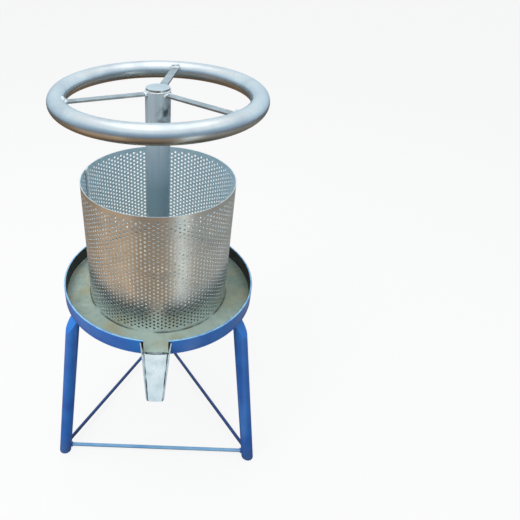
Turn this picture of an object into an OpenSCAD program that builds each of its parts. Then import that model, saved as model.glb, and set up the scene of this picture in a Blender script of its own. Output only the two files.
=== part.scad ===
// Hand-turned fruit press. A handwheel on a long sleeve screws down a fixed central screw and pushes
// a plate through a perforated basket, which stands in a spouted tray on three pipe legs.
// Millimetres, +Z up. The origin is on the screw's axis at the floor, and the spout points to -Y.

/* [Stand] */
// Height of the tray floor's upper face above the ground
tray_height = 414; // [380:1:450]
// Outer diameter of the leg pipe
leg_d = 26.9; // [21.3:0.1:33.7]
// Wall of the leg pipe
leg_wall = 2.6; // [2:0.1:4]
// Distance of a leg's axis inside the tray's edge, where the leg meets the tray
leg_inset = 5; // [2:0.5:10]
// Lean of a leg from the vertical, in degrees
leg_lean = 8.9; // [5:0.1:12]
// Slant of a leg's closed upper end from the level, in degrees
leg_mitre = 56; // [48:1:64]
// Width of the level land that the slant leaves against the tray
leg_land = 6; // [4:0.5:10]
// Turn of the legs about the screw's axis, in degrees
stand_turn = -2.4; // [-20:0.1:20]
// Diameter of a stretcher rod
stretcher_d = 8; // [6:0.5:12]
// Height of the stretchers' axes above the ground
stretcher_height = 18; // [12:1:80]
// Height of the flat bars between the boss and the legs
arm_h = 30; // [20:1:34]
// Thickness of those bars
arm_t = 6; // [4:0.5:10]
// Diameter of the boss that the three arms are welded to
hub_d = 62; // [56:1:70]
// Height of the boss
hub_h = 36; // [34:1:48]

/* [Tray] */
// Outer diameter of the tray
tray_d = 385; // [365:1:420]
// Thickness of the floor plate
floor_t = 2.5; // [1.5:0.1:4]
// Height of the flat bar that makes the rim
rim_h = 29; // [22:1:45]
// Thickness of the rim bar
rim_t = 4; // [3:0.5:6]
// Width of the outlet notch in the rim
notch_w = 44; // [40:1:60]
// Turn of the outlet about the screw's axis, in degrees
spout_turn = -1.2; // [-10:0.1:10]

/* [Chute] */
// Run of the chute in front of the rim
chute_run = 57; // [40:1:90]
// Drop of the chute's floor over its run
chute_drop = 60; // [30:1:80]
// Width of the chute's floor at the rim
chute_w = 42; // [38:0.5:44]
// Width of the chute's floor at its lip
lip_w = 25.5; // [20:0.5:34]
// Height of the cheeks at the rim, square to the chute's floor
cheek_h = 14; // [10:0.5:16]
// Height of the cheeks at the lip
lip_cheek_h = 5; // [3:0.5:9]
// Corner of the lip, across the chute
lip_round = 6.5; // [4:0.5:8]
// Corner of the lip, along the chute
lip_reach = 12; // [6:0.5:16]
// Thickness of the folded sheet
chute_t = 1.5; // [1:0.1:2.5]

/* [Basket] */
// Outer diameter of the basket
basket_d = 280; // [276:1:290]
// Height of the basket
basket_h = 250; // [200:1:280]
// Thickness of the perforated sheet
basket_t = 1.5; // [1:0.1:2.5]
// Number of columns of holes round the basket
hole_columns = 36; // [24:2:36]
// Diameter of a hole
hole_d = 12; // [6:0.5:12]
// Width of the lap strip inside the seam
seam_w = 11; // [8:0.5:12]

/* [Screw] */
// Outer diameter of the screw
screw_d = 30; // [26:0.5:32]
// Height of the screw's end above the tray floor
screw_reach = 386; // [330:1:386]
// Width across the flats of the nuts that clamp the screw
nut_af = 46; // [44:1:50]
// Height of the nut above the tray floor
floor_nut_h = 24; // [18:1:26]
// Height of the lock nut on top of it
lock_nut_h = 15; // [12:1:17]
// Height of the nut below the boss
hub_nut_h = 24; // [18:1:30]

/* [Press plate] */
// Diameter of the press plate
plate_d = 264; // [250:1:266]
// Thickness of the press plate
plate_t = 4; // [3:0.5:8]
// Height of the lowered plate's underside above the tray floor
plate_lift = 48; // [47:0.5:70]
// Outer diameter of the collar round the sleeve's foot
collar_d = 96; // [92:1:110]
// Thickness of a stiffening rib
rib_t = 6; // [4:0.5:10]
// Thickness of the keeper ring on the collar
keeper_t = 5; // [4:0.5:8]
// Diameter of a keeper bolt's shank
bolt_d = 6; // [5:0.5:8]

/* [Handwheel] */
// Centreline diameter of the wheel's ring
ring_d = 327; // [310:1:360]
// Outer diameter of the ring's pipe
ring_pipe_d = 30; // [24:0.5:34]
// Wall of the ring's pipe
ring_wall = 2.6; // [2:0.1:4]
// Width of a spoke, a flat bar that lies level
spoke_w = 14; // [10:0.5:20]
// Thickness of a spoke
spoke_t = 3; // [2.5:0.5:5]
// Height of the spokes' middle above the ring's plane
spoke_rise = 5.5; // [0:0.5:6]
// Turn of the first spoke about the screw's axis, in degrees
wheel_turn = 77.5; // [0:0.5:120]
// Depth of the ring's plane below the sleeve's top
wheel_drop = 9.5; // [8:0.5:30]
// Outer diameter of the sleeve
sleeve_d = 42.4; // [40:0.1:44]
// Wall of the sleeve
sleeve_wall = 3.2; // [2:0.1:3.5]
// Length of the sleeve
sleeve_len = 349; // [336:1:400]
// Diameter of the disc that closes the sleeve
cap_d = 40; // [36:0.5:42]
// Thickness of the closing disc
cap_t = 5; // [3:0.5:8]
// Length of the bronze nut in the sleeve's foot
sleeve_nut_len = 50; // [35:1:55]
// Diameter of the thrust flange on the sleeve's foot
flange_d = 60; // [54:1:64]
// Thickness of the thrust flange
flange_t = 8; // [6:0.5:12]

/* [Hidden] */

$fn = 96;

// Colours, as the object shows them
galvanised = "lightsteelblue";
frame_blue = "royalblue";
rod_blue = "mediumblue";
dull_steel = "lightslategray";
bright_steel = "gainsboro";
bronze = "darkgoldenrod";
seal_black = "dimgray";

// Clearances and overruns
// Gap left on a curved face that is welded or pressed to another
weld_gap = 0.1;
// Radial gap between the screw and the nuts that run on it
thread_gap = 0.1;
// Radial gap of a part that goes loosely round the screw
screw_clearance = 1;
// Radial gap between the flange and its collar
flange_clearance = 1;
// Radial gap between the sleeve and the keeper ring
keeper_clearance = 0.8;
// End float of the thrust flange under the keeper ring
end_float = 0.5;
// Radial gap between a bolt and its hole
bolt_clearance = 0.2;
// How far a cut runs past the faces that it cuts
overrun = 5;
// Width that the chute's rounded outline leaves beside the cheeks
lip_margin = 0.3;

// Places of the three legs, in degrees about the screw's axis
leg_angles = [210, 330, 90];
leg_count = len(leg_angles);

// Heights of the stack, from the tray down to the screw's lower end
floor_bottom = tray_height - floor_t;
hub_bottom = floor_bottom - hub_h;
hub_washer_t = 4;
hub_washer_d = 56;
hub_nut_bottom = hub_bottom - hub_washer_t - hub_nut_h;
screw_tail = 6;
screw_bottom = hub_nut_bottom - screw_tail;

// Heights of the stack, from the tray up to the top of the sleeve
seal_t = 3;
seal_d = 56;
floor_nut_bottom = tray_height + seal_t;
lock_nut_bottom = floor_nut_bottom + floor_nut_h;
lock_nut_turn = 20;
plate_bottom = tray_height + plate_lift;
plate_top = plate_bottom + plate_t;
thrust_washer_t = 3;
sleeve_bottom = plate_top + thrust_washer_t;
sleeve_top = sleeve_bottom + sleeve_len;
wheel_z = sleeve_top - wheel_drop;
collar_h = thrust_washer_t + flange_t + end_float;
collar_top = plate_top + collar_h;

// A leg's axis at the tray and at the ground, and the upper edge of the slant that closes the leg
leg_top_r = tray_d / 2 - leg_inset;
foot_r = leg_top_r + floor_bottom * tan(leg_lean);
mitre_r = leg_top_r - leg_d / 2 / cos(leg_lean) + leg_land;
mitre_span = 4 * leg_d;

// The chute's sloping floor, and the cheeks' outward flare
chute_step = 1.3;
chute_floor_z = tray_height - chute_step;
chute_len = norm([chute_run, chute_drop]);
chute_slope = atan2(chute_drop, chute_run);
chute_back = 2 * cheek_h * chute_drop / chute_run;
cheek_flare_share = 0.2;
cheek_t = chute_t * sqrt(1 + pow(cheek_flare_share, 2));
slice_t = 0.1;
lip_corner_steps = 6;

// The basket's holes, at the corners of triangles with equal sides
column_pitch = PI * basket_d / hole_columns;
hole_pitch = column_pitch * 2 / sqrt(3);
least_margin_share = 0.75;
hole_rows = floor((basket_h - hole_pitch / 2 - 2 * least_margin_share * hole_d) / hole_pitch) + 1;
hole_margin = (basket_h - (hole_rows - 1) * hole_pitch - hole_pitch / 2) / 2;
hole_cut = basket_t + 2 * overrun;
seam_t = basket_t;
// The seam lies halfway between two columns, on the left at the back
seam_place_share = 0.46;
seam_angle = 360 * (floor(seam_place_share * hole_columns) + 1 / 2) / hole_columns;

// The press plate's fittings
collar_bore = flange_d + 2 * flange_clearance;
keeper_bore = sleeve_d + 2 * keeper_clearance;
rib_inset = 8;
rib_tip_h = 5;
rib_turn = 30;
rib_count = 3;
bolt_circle_r = (collar_d + collar_bore) / 4;
bolt_head_af = 10;
bolt_head_h = 4;
bolt_reach_share = 0.8;
bolt_count = 3;
bolt_turn = rib_turn + 180 / rib_count;

spoke_count = 3;

function leg_angle(i) = stand_turn + leg_angles[i % leg_count];
function on_circle(r, a) = [r * cos(a), r * sin(a)];
// Half the width of the chute's floor, the cheeks' height and the half width at their edges, down the slope
function chute_half(y) = (chute_w + (lip_w - chute_w) * y / chute_len) / 2;
function cheek_top(y) = cheek_h + (lip_cheek_h - cheek_h) * y / chute_len;
function cheek_edge(y) = chute_half(y) + cheek_t + cheek_flare_share * cheek_top(y);

module lift(z) {
  translate([0, 0, z]) children();
}

module tube(d, wall, h) {
  difference() {
    cylinder(d = d, h = h);
    lift(-overrun) cylinder(d = d - 2 * wall, h = h + 2 * overrun);
  }
}

module washer(d, bore, h) {
  tube(d, (d - bore) / 2, h);
}

module hex_nut(af, bore, h) {
  difference() {
    cylinder(d = af / cos(30), h = h, $fn = 6);
    lift(-overrun) cylinder(d = bore, h = h + 2 * overrun);
  }
}

// A solid bar along a leg, for the pipe itself and for what is coped round it
module leg_bar(i, d) {
  rotate([0, 0, leg_angle(i)])
    translate([foot_r, 0, 0])
      rotate([0, -leg_lean, 0])
        lift(-leg_d) cylinder(d = d, h = tray_height + 2 * leg_d);
}

// What lies above a leg's slanted end and above the tray's underside, both lowered by a depth
module above_leg(i, depth) {
  rotate([0, 0, leg_angle(i)])
    translate([mitre_r, 0, floor_bottom])
      rotate([0, leg_mitre, 0])
        translate([-mitre_span, -mitre_span, -depth]) cube([2 * mitre_span, 2 * mitre_span, mitre_span]);
  lift(floor_bottom - depth) cylinder(r = foot_r, h = mitre_span);
}

module leg(i) {
  color(frame_blue)
    difference() {
      leg_bar(i, leg_d);
      // The bore is closed by a plate as thick as the wall
      difference() {
        leg_bar(i, leg_d - 2 * leg_wall);
        above_leg(i, leg_wall);
      }
      above_leg(i, 0);
      // The foot is cut level with the ground
      lift(-2 * leg_d) cylinder(r = foot_r + 2 * leg_d, h = 2 * leg_d);
    }
}

// A flat bar on edge under the tray, coped round the boss and a leg
module arm(i) {
  color(frame_blue)
    difference() {
      rotate([0, 0, leg_angle(i)])
        translate([0, -arm_t / 2, floor_bottom - arm_h]) cube([leg_top_r, arm_t, arm_h]);
      leg_bar(i, leg_d + 2 * weld_gap);
      lift(hub_bottom - overrun) cylinder(r = hub_d / 2 + weld_gap, h = hub_h + 2 * overrun);
    }
}

// A rod from leg i to the next one, coped round both
module stretcher(i) {
  reach = foot_r - stretcher_height * tan(leg_lean);
  start = on_circle(reach, leg_angle(i));
  end = on_circle(reach, leg_angle(i + 1));
  way = end - start;
  color(rod_blue)
    difference() {
      translate([start[0], start[1], stretcher_height])
        rotate([0, 90, atan2(way[1], way[0])])
          cylinder(d = stretcher_d, h = norm(way));
      leg_bar(i, leg_d + 2 * weld_gap);
      leg_bar(i + 1, leg_d + 2 * weld_gap);
    }
}

module screw_hub() {
  color(dull_steel)
    lift(hub_bottom) washer(hub_d, screw_d + 2 * weld_gap, hub_h);
}

module tray_floor() {
  color(dull_steel)
    lift(floor_bottom) washer(tray_d, screw_d + 2 * weld_gap, floor_t);
}

module tray_rim() {
  color(frame_blue)
    lift(tray_height) difference() {
      tube(tray_d, rim_t, rim_h);
      rotate([0, 0, spout_turn])
        translate([-notch_w / 2, -tray_d, -overrun]) cube([notch_w, tray_d, rim_h + 2 * overrun]);
    }
}

// Outline of the chute, square to its floor, with the run along +Y and the lip's corners rounded
module chute_plan() {
  back = cheek_edge(-chute_back) + lip_margin;
  front = cheek_edge(chute_len) + lip_margin;
  lean = lip_reach * (back - front) / (chute_back + chute_len);
  start = atan2(lean, lip_round);
  middle = [front + lean - norm([lip_round, lean]), chute_len - lip_reach];
  corner = [
    for (k = [0 : lip_corner_steps])
      let (a = start + (90 - start) * k / lip_corner_steps)
        middle + [lip_round * cos(a), lip_reach * sin(a)]
  ];
  right = concat([[back, -chute_back]], corner);
  left = [for (k = [len(right) - 1 : -1 : 0]) [-right[k][0], right[k][1]]];
  polygon(concat(right, left));
}

// A thin slice across the chute between two heights, with both walls moved out
module chute_slice(y, out, low, high) {
  low_half = chute_half(y) + out + cheek_flare_share * low;
  high_half = chute_half(y) + out + cheek_flare_share * high;
  translate([0, y, 0])
    rotate([90, 0, 0])
      linear_extrude(height = slice_t)
        polygon([[-low_half, low], [low_half, low], [high_half, high], [-high_half, high]]);
}

// The space between two slices, which runs past the cheeks' edges and both ends
module chute_trough(out, low, past) {
  hull() {
    chute_slice(-chute_back - past, out, low, cheek_top(-chute_back - past) + past);
    chute_slice(chute_len + past, out, low, cheek_top(chute_len + past) + past);
  }
}

module spout_chute() {
  color(bright_steel)
    difference() {
      rotate([0, 0, 180 + spout_turn])
        translate([0, tray_d / 2, chute_floor_z])
          rotate([-chute_slope, 0, 0]) difference() {
            intersection() {
              chute_trough(cheek_t, -chute_t, 0);
              lift(-overrun) linear_extrude(height = 2 * (cheek_h + overrun)) chute_plan();
            }
            chute_trough(0, 0, overrun);
          }
      // It ends at the rim's outer face and at the floor plate's edge
      cylinder(d = tray_d + 2 * weld_gap, h = 2 * tray_height);
    }
}

module screw() {
  color(galvanised)
    lift(screw_bottom) cylinder(d = screw_d, h = tray_height + screw_reach - screw_bottom);
}

module floor_seal() {
  color(seal_black)
    lift(tray_height) washer(seal_d, screw_d + 2 * thread_gap, seal_t);
}

module floor_nut() {
  color(galvanised)
    lift(floor_nut_bottom) hex_nut(nut_af, screw_d + 2 * thread_gap, floor_nut_h);
}

module lock_nut() {
  color(galvanised)
    lift(lock_nut_bottom)
      rotate([0, 0, lock_nut_turn]) hex_nut(nut_af, screw_d + 2 * thread_gap, lock_nut_h);
}

module hub_washer() {
  color(galvanised)
    lift(hub_bottom - hub_washer_t) washer(hub_washer_d, screw_d + 2 * thread_gap, hub_washer_t);
}

module hub_nut() {
  color(galvanised)
    lift(hub_nut_bottom) hex_nut(nut_af, screw_d + 2 * thread_gap, hub_nut_h);
}

module basket_holes() {
  for (column = [0 : hole_columns - 1], row = [0 : hole_rows - 1])
    rotate([0, 0, 360 * column / hole_columns])
      translate([basket_d / 2, 0, hole_margin + (row + (column % 2) / 2) * hole_pitch])
        rotate([0, 90, 0]) cylinder(d = hole_d, h = hole_cut, center = true, $fn = 24);
}

module basket() {
  color(galvanised)
    lift(tray_height) difference() {
      tube(basket_d, basket_t, basket_h);
      basket_holes();
    }
}

// The sheet's edge, lapped inside the wall and spot-welded to it
module basket_seam() {
  color(bright_steel)
    lift(tray_height) intersection() {
      tube(basket_d - 2 * basket_t - 2 * weld_gap, seam_t, basket_h);
      rotate([0, 0, seam_angle]) translate([0, -seam_w / 2, 0]) cube([basket_d, seam_w, basket_h]);
    }
}

module press_plate() {
  color(dull_steel)
    lift(plate_bottom) washer(plate_d, screw_d + 2 * screw_clearance, plate_t);
}

// A flat bar on edge, tall at the collar and low at the plate's edge
module plate_rib(i) {
  inner = collar_d / 2;
  outer = plate_d / 2 - rib_inset;
  color(dull_steel)
    lift(plate_top) difference() {
      rotate([0, 0, rib_turn + 360 * i / rib_count])
        translate([0, rib_t / 2, 0])
          rotate([90, 0, 0])
            linear_extrude(height = rib_t)
              polygon([[0, 0], [outer, 0], [outer, rib_tip_h], [inner, collar_h], [0, collar_h]]);
      lift(-overrun) cylinder(r = inner + weld_gap, h = collar_h + 2 * overrun);
    }
}

module bolt_places() {
  for (i = [0 : bolt_count - 1])
    rotate([0, 0, bolt_turn + 360 * i / bolt_count]) translate([bolt_circle_r, 0, 0]) children();
}

module plate_collar() {
  color(dull_steel)
    lift(plate_top) difference() {
      washer(collar_d, collar_bore, collar_h);
      lift(-overrun) bolt_places()
        cylinder(d = bolt_d + 2 * bolt_clearance, h = collar_h + 2 * overrun, $fn = 32);
    }
}

module keeper_ring() {
  color(galvanised)
    lift(collar_top) difference() {
      washer(collar_d, keeper_bore, keeper_t);
      lift(-overrun) bolt_places()
        cylinder(d = bolt_d + 2 * bolt_clearance, h = keeper_t + 2 * overrun, $fn = 32);
    }
}

module keeper_bolts() {
  shank = keeper_t + collar_h * bolt_reach_share;
  color(bright_steel)
    lift(collar_top + keeper_t) bolt_places() union() {
      cylinder(d = bolt_head_af / cos(30), h = bolt_head_h, $fn = 6);
      lift(-shank) cylinder(d = bolt_d, h = shank, $fn = 32);
    }
}

module thrust_washer() {
  color(bronze)
    lift(plate_top) washer(flange_d, screw_d + 2 * screw_clearance, thrust_washer_t);
}

module sleeve() {
  color(galvanised)
    lift(sleeve_bottom) tube(sleeve_d, sleeve_wall, sleeve_len);
}

module sleeve_nut() {
  color(bronze)
    lift(sleeve_bottom)
      washer(sleeve_d - 2 * sleeve_wall - 2 * weld_gap, screw_d + 2 * thread_gap, sleeve_nut_len);
}

module thrust_flange() {
  color(dull_steel)
    lift(sleeve_bottom) washer(flange_d, sleeve_d + 2 * weld_gap, flange_t);
}

module sleeve_cap() {
  color(bright_steel)
    lift(sleeve_top) cylinder(d = cap_d, h = cap_t);
}

module ring_section(d) {
  translate([ring_d / 2, 0]) circle(d = d);
}

module wheel_ring() {
  color(bright_steel)
    lift(wheel_z) rotate_extrude() difference() {
      ring_section(ring_pipe_d);
      ring_section(ring_pipe_d - 2 * ring_wall);
    }
}

// A flat bar from the sleeve to the ring, coped round both
module spoke(i) {
  color(bright_steel)
    lift(wheel_z) difference() {
      rotate([0, 0, wheel_turn + 360 * i / spoke_count])
        translate([0, -spoke_w / 2, spoke_rise - spoke_t / 2]) cube([ring_d / 2, spoke_w, spoke_t]);
      cylinder(d = sleeve_d + 2 * weld_gap, h = 2 * ring_pipe_d, center = true);
      rotate_extrude() ring_section(ring_pipe_d + 2 * weld_gap);
    }
}

leg(0);  // leg_left
leg(1);  // leg_right
leg(2);  // leg_back
stretcher(0);  // stretcher_front
stretcher(1);  // stretcher_right
stretcher(2);  // stretcher_left
arm(0);  // arm_left
arm(1);  // arm_right
arm(2);  // arm_back
screw_hub();
tray_floor();
tray_rim();
spout_chute();
screw();
floor_seal();
floor_nut();
lock_nut();
hub_washer();
hub_nut();
basket();
basket_seam();
press_plate();
plate_rib(0);  // plate_rib_1
plate_rib(1);  // plate_rib_2
plate_rib(2);  // plate_rib_3
plate_collar();
keeper_ring();
keeper_bolts();
thrust_washer();
sleeve();
sleeve_nut();
thrust_flange();
sleeve_cap();
wheel_ring();
spoke(0);  // spoke_1
spoke(1);  // spoke_2
spoke(2);  // spoke_3
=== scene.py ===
# %% [markdown]
# # A hand-turned screw press
# The press stands on three blue pipe legs. Pulp goes into the perforated basket, the handwheel is turned,
# and a plate comes down on a screw and pushes the juice out through the holes, into the tray and down the
# chute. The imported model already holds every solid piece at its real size. This lesson gives each surface
# its finish, and adds what is too fine for the solids: the full pattern of holes, the thread, the chamfers
# on the nuts, the rounded edges of the rim and the weld beads.

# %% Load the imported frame
import math
import random

import bpy
import numpy as np
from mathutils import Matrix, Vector


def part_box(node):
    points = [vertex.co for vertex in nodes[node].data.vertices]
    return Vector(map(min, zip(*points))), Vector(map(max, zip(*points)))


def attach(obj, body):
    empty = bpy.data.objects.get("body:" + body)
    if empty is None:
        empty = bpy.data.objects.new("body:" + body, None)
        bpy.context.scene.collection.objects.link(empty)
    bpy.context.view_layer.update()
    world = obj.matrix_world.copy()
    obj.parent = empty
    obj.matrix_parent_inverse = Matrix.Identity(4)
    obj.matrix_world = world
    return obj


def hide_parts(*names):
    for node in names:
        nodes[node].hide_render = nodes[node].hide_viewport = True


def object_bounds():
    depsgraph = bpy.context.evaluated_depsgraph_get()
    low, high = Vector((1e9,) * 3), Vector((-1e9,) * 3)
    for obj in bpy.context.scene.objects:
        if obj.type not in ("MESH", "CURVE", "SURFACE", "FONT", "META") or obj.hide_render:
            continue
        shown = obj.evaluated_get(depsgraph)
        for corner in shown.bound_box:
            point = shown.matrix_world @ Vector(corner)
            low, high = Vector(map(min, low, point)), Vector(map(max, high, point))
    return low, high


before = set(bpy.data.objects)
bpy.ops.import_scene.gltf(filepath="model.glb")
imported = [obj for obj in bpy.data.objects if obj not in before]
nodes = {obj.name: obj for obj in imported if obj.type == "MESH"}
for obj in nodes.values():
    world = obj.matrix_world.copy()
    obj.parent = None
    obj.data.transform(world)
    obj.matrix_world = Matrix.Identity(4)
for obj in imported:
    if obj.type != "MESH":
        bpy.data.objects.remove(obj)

cad_low, cad_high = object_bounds()
print("nodes:", len(nodes), "box:", [round(side, 3) for side in cad_high - cad_low])

# %% [markdown]
# ## Units and colours
# Blender works in metres and in linear light, but a maker thinks in millimetres and picks colours as sRGB
# hex values. One unit and two short functions do the change, so that the rest of the file can be read in a
# maker's own terms.

# %% Units and colours
MM = 0.001


def linear(hex_colour):
    """An sRGB hex colour as linear red, green, blue and alpha."""
    parts = [int(hex_colour[i:i + 2], 16) / 255 for i in (1, 3, 5)]
    return [c / 12.92 if c <= 0.04045 else ((c + 0.055) / 1.055) ** 2.4 for c in parts] + [1.0]


def per_metre(size_mm):
    """The scale of a texture whose features are this many millimetres across."""
    return 1 / (size_mm * MM)


print("a mid grey, linear:", round(linear("#808080")[0], 3))

# %% [markdown]
# ## The camera
# The photograph looks down on the press from the front, from about a metre away, so the wheel looks larger
# than the tray. A camera close to the object with a short lens gives that same strong perspective, which a
# long lens from far away can't. The press stands left of the middle of the picture, and the lens is shifted
# for that, because turning the camera would make the upright lines lean.

# %% Camera
PICTURE_PX = 520
AXIS_PX = 158
SENSOR_MM = 36
LENS_MM = 33.26
EYE = Vector((0, -0.7855, 1.0540))
LOOK_DOWN_DEG = 36.18

eye = bpy.data.cameras.new("eye")
eye.sensor_width = SENSOR_MM
eye.lens = LENS_MM
eye.shift_x = (PICTURE_PX / 2 - AXIS_PX) / PICTURE_PX
eye.clip_start = 10 * MM
camera = bpy.data.objects.new("camera", eye)
camera.location = EYE
camera.rotation_euler = (math.radians(90 - LOOK_DOWN_DEG), 0, 0)
bpy.context.scene.collection.objects.link(camera)
bpy.context.scene.camera = camera
bpy.context.scene.view_settings.view_transform = "Standard"
print("shift of the lens:", round(eye.shift_x, 3))

# %% [markdown]
# ## Adding nodes
# A material is a small graph. Written out in full, each node takes several lines, so one function adds a
# node of any kind, sets its properties, and fills its sockets. A socket gets a plain value, a hex colour,
# an output of a node that was made before, or that node itself, which stands for its first output in use.

# %% Adding nodes
def wire(mat, node, sockets):
    """Fill a node's sockets with values, colours, or what other nodes give."""
    for name, value in sockets.items():
        in_use = [s for s in node.inputs if s.enabled and s.name == name]
        socket = in_use[0] if in_use else node.inputs[name]
        if isinstance(value, bpy.types.Node):
            value = [s for s in value.outputs if s.enabled][0]
        if isinstance(value, bpy.types.NodeSocket):
            mat.node_tree.links.new(value, socket)
        else:
            socket.default_value = linear(value) if isinstance(value, str) else value


def add(mat, kind, sockets=None, stops=(), **settings):
    """Add a node, with its properties, its sockets and, on a colour ramp, its stops."""
    node = mat.node_tree.nodes.new("ShaderNode" + kind)
    for name, value in settings.items():
        setattr(node, name, value)
    for number, (place, colour) in enumerate(stops):
        row = node.color_ramp.elements
        stop = row[number] if number < 2 else row.new(place)
        stop.position = place
        stop.color = linear(colour)
    wire(mat, node, sockets or {})
    return node


def clear_graph(holder):
    """Start a material or a world with an empty graph."""
    holder.use_nodes = True
    holder.node_tree.nodes.clear()
    return holder


print("helpers ready")

# %% [markdown]
# ## The floor
# The photograph shows the press on plain white. A large pale floor does the same and still catches the soft
# shadow that tells the eye the legs stand on something. Most of what the camera sees of the floor is plain
# white, and the rest is real light on white paint, so that the shadow stays faint. Reflections see the same
# floor as the camera does. The soft light that the floor throws back up is that of sandy ground, which the
# warm tones on the steel suggest, so the lower sides keep their shade. The floor is wide enough to fill the
# picture.

# %% Floor
FLOOR_HALF = 9.0
FLOOR_WHITE = "#F4F4F2"
FLOOR_SAND = "#9C9184"
PLAIN_SHARE = 0.86


def seen_directly(mat):
    """1 for camera, mirror and see-through rays, 0 for the rays that carry soft light."""
    ray = add(mat, "LightPath").outputs
    pair = add(mat, "Math", {0: ray["Is Camera Ray"], 1: ray["Is Glossy Ray"]}, operation="MAXIMUM")
    return add(mat, "Math", {0: pair, 1: ray["Is Transmission Ray"]}, operation="MAXIMUM")


floor_paint = clear_graph(bpy.data.materials.new("white_paint_rolled_on_board"))
seen = seen_directly(floor_paint)
tint = add(floor_paint, "Mix", {"Factor": seen, "A": FLOOR_SAND, "B": FLOOR_WHITE}, data_type="RGBA")
paint = add(floor_paint, "BsdfDiffuse", {"Color": tint})
plain = add(floor_paint, "Emission", {"Color": "#FFFFFF", "Strength": 1})
plain_part = add(floor_paint, "Math", {0: seen, 1: PLAIN_SHARE}, operation="MULTIPLY")
blend = add(floor_paint, "MixShader", {0: plain_part, 1: paint, 2: plain})
add(floor_paint, "OutputMaterial", {"Surface": blend})


def stage_mesh(name, points, faces, mat):
    """A piece of the stage, which isn't part of the press."""
    mesh = bpy.data.meshes.new(name)
    mesh.from_pydata(points, [], faces)
    mesh.materials.append(mat)
    obj = bpy.data.objects.new(name, mesh)
    bpy.context.scene.collection.objects.link(obj)
    return obj


corners = [(x, y, 0) for x, y in ((-1, -1), (1, -1), (1, 1), (-1, 1))]
stage_mesh("floor", [Vector(c) * FLOOR_HALF for c in corners], [(0, 1, 2, 3)], floor_paint)
print("floor:", 2 * FLOOR_HALF, "m wide")

# %% [markdown]
# ## Cards for the metal to mirror
# Bare steel has hardly any colour of its own: it shows what stands around it. The tones on the real press
# suggest sandy ground, darker close by and far away, sunlit to the left and greyer to the right, with a
# pale path between, under a hazy blue sky that is palest behind the press. They make the basket warm and
# the wheel cool. A photographer in a studio sets coloured cards just out of the picture for the same
# effect, and a bright one overhead, which gives the ring its white line. These cards are seen by mirror
# rays only, so they neither tint the floor nor cast a shadow.

# %% Card finishes
GROUND_INNER, GROUND_OUTER = 0.03, 4.0
SAND = ((0.0, "#4A423B"), (1.0, "#5F574F"), (0.06, "#4A423B"), (0.16, "#A48B71"), (0.32, "#9C846B"),
        (0.5, "#675E55"))
GRAVEL = ((0.0, "#4A4845"), (1.0, "#5F5D5A"), (0.06, "#4A4845"), (0.16, "#A6A197"), (0.32, "#9E9990"),
          (0.5, "#676561"))
SUNNY_STRENGTH = 1.75
PATH_PALE = "#F4FAF4"
HAZE_HEIGHT = 4.4
HAZE_FRONT = ((0.0, "#76889A"), (1.0, "#F8FCFE"), (0.5, "#B0C4D5"), (0.73, "#E8F8FE"))
HAZE_BACK = ((0.0, "#9FB2C2"), (1.0, "#F8FCFE"), (0.27, "#CFE2EE"), (0.45, "#E4F6FE"))
SKY_STRENGTH = 1.5


def card_material(name, colour="#FFFFFF", strength=1):
    """A card that shines evenly, and the node that holds its colour."""
    mat = clear_graph(bpy.data.materials.new(name))
    glow = add(mat, "Emission", {"Color": colour, "Strength": strength})
    add(mat, "OutputMaterial", {"Surface": glow})
    return mat, glow


def ground_material(name, tones, strength=1):
    """Ground whose tone follows the distance from the press, as a share of the card's reach."""
    mat, glow = card_material(name, strength=strength)
    away = add(mat, "VectorMath", {0: add(mat, "TexCoord").outputs["Object"]}, operation="LENGTH")
    share = add(mat, "MapRange", {"Value": away, "From Max": GROUND_OUTER})
    wire(mat, glow, {"Color": add(mat, "ValToRGB", {"Fac": share}, tones)})
    return mat


def haze_material():
    """A sky whose tone follows the height, and is paler behind the press than in front of it."""
    mat, glow = card_material("haze_coloured_card")
    spot = add(mat, "SeparateXYZ", {0: add(mat, "TexCoord").outputs["Object"]}).outputs
    rise = add(mat, "MapRange", {"Value": spot["Z"], "From Max": HAZE_HEIGHT})
    front, back = (add(mat, "ValToRGB", {"Fac": rise}, tones) for tones in (HAZE_FRONT, HAZE_BACK))
    behind = add(mat, "MapRange", {"Value": spot["Y"], "From Min": -0.5 * GROUND_OUTER,
                                   "From Max": 0.5 * GROUND_OUTER})
    sky = add(mat, "Mix", {"Factor": behind, "A": front, "B": back}, data_type="RGBA")
    wire(mat, glow, {"Color": sky})
    return mat


sand_card = ground_material("sand_coloured_card", SAND)
sunny_card = ground_material("sunlit_sand_card", SAND, SUNNY_STRENGTH)
gravel_card = ground_material("gravel_coloured_card", GRAVEL)
path_card = card_material("pale_card", PATH_PALE)[0]
haze_card = haze_material()
sky_card = card_material("white_card", strength=SKY_STRENGTH)[0]
print("card finishes: sand, sunlit sand, gravel, pale path, haze and sky")

# %% Cards
CARD_LIFT = 1 * MM
CARD_STEPS = 96
SKY_HEIGHT = 2.5
SKY_RADIUS = 1.1
# Each patch of ground: its name, its finish, its first and last turn in degrees, and its steps.
PATCHES = (("pale_card", path_card, -65, -47, 4), ("sunny_card", sunny_card, -185, -122, 16),
           ("gravel_card", gravel_card, -40, 60, 24))


def ring_card(name, mat, start, end, first_deg=0, last_deg=360, steps=CARD_STEPS):
    """A band round the press between two (radius, height) points, for mirror rays only."""
    points = []
    for k in range(steps + 1):
        turn = math.radians(first_deg + (last_deg - first_deg) * k / steps)
        points += [(r * math.cos(turn), r * math.sin(turn), z) for r, z in (start, end)]
    faces = [(2 * k, 2 * k + 1, 2 * k + 3, 2 * k + 2) for k in range(steps)]
    card = stage_mesh(name, points, faces, mat)
    card.visible_camera = False
    card.visible_diffuse = False
    card.visible_shadow = False


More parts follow.
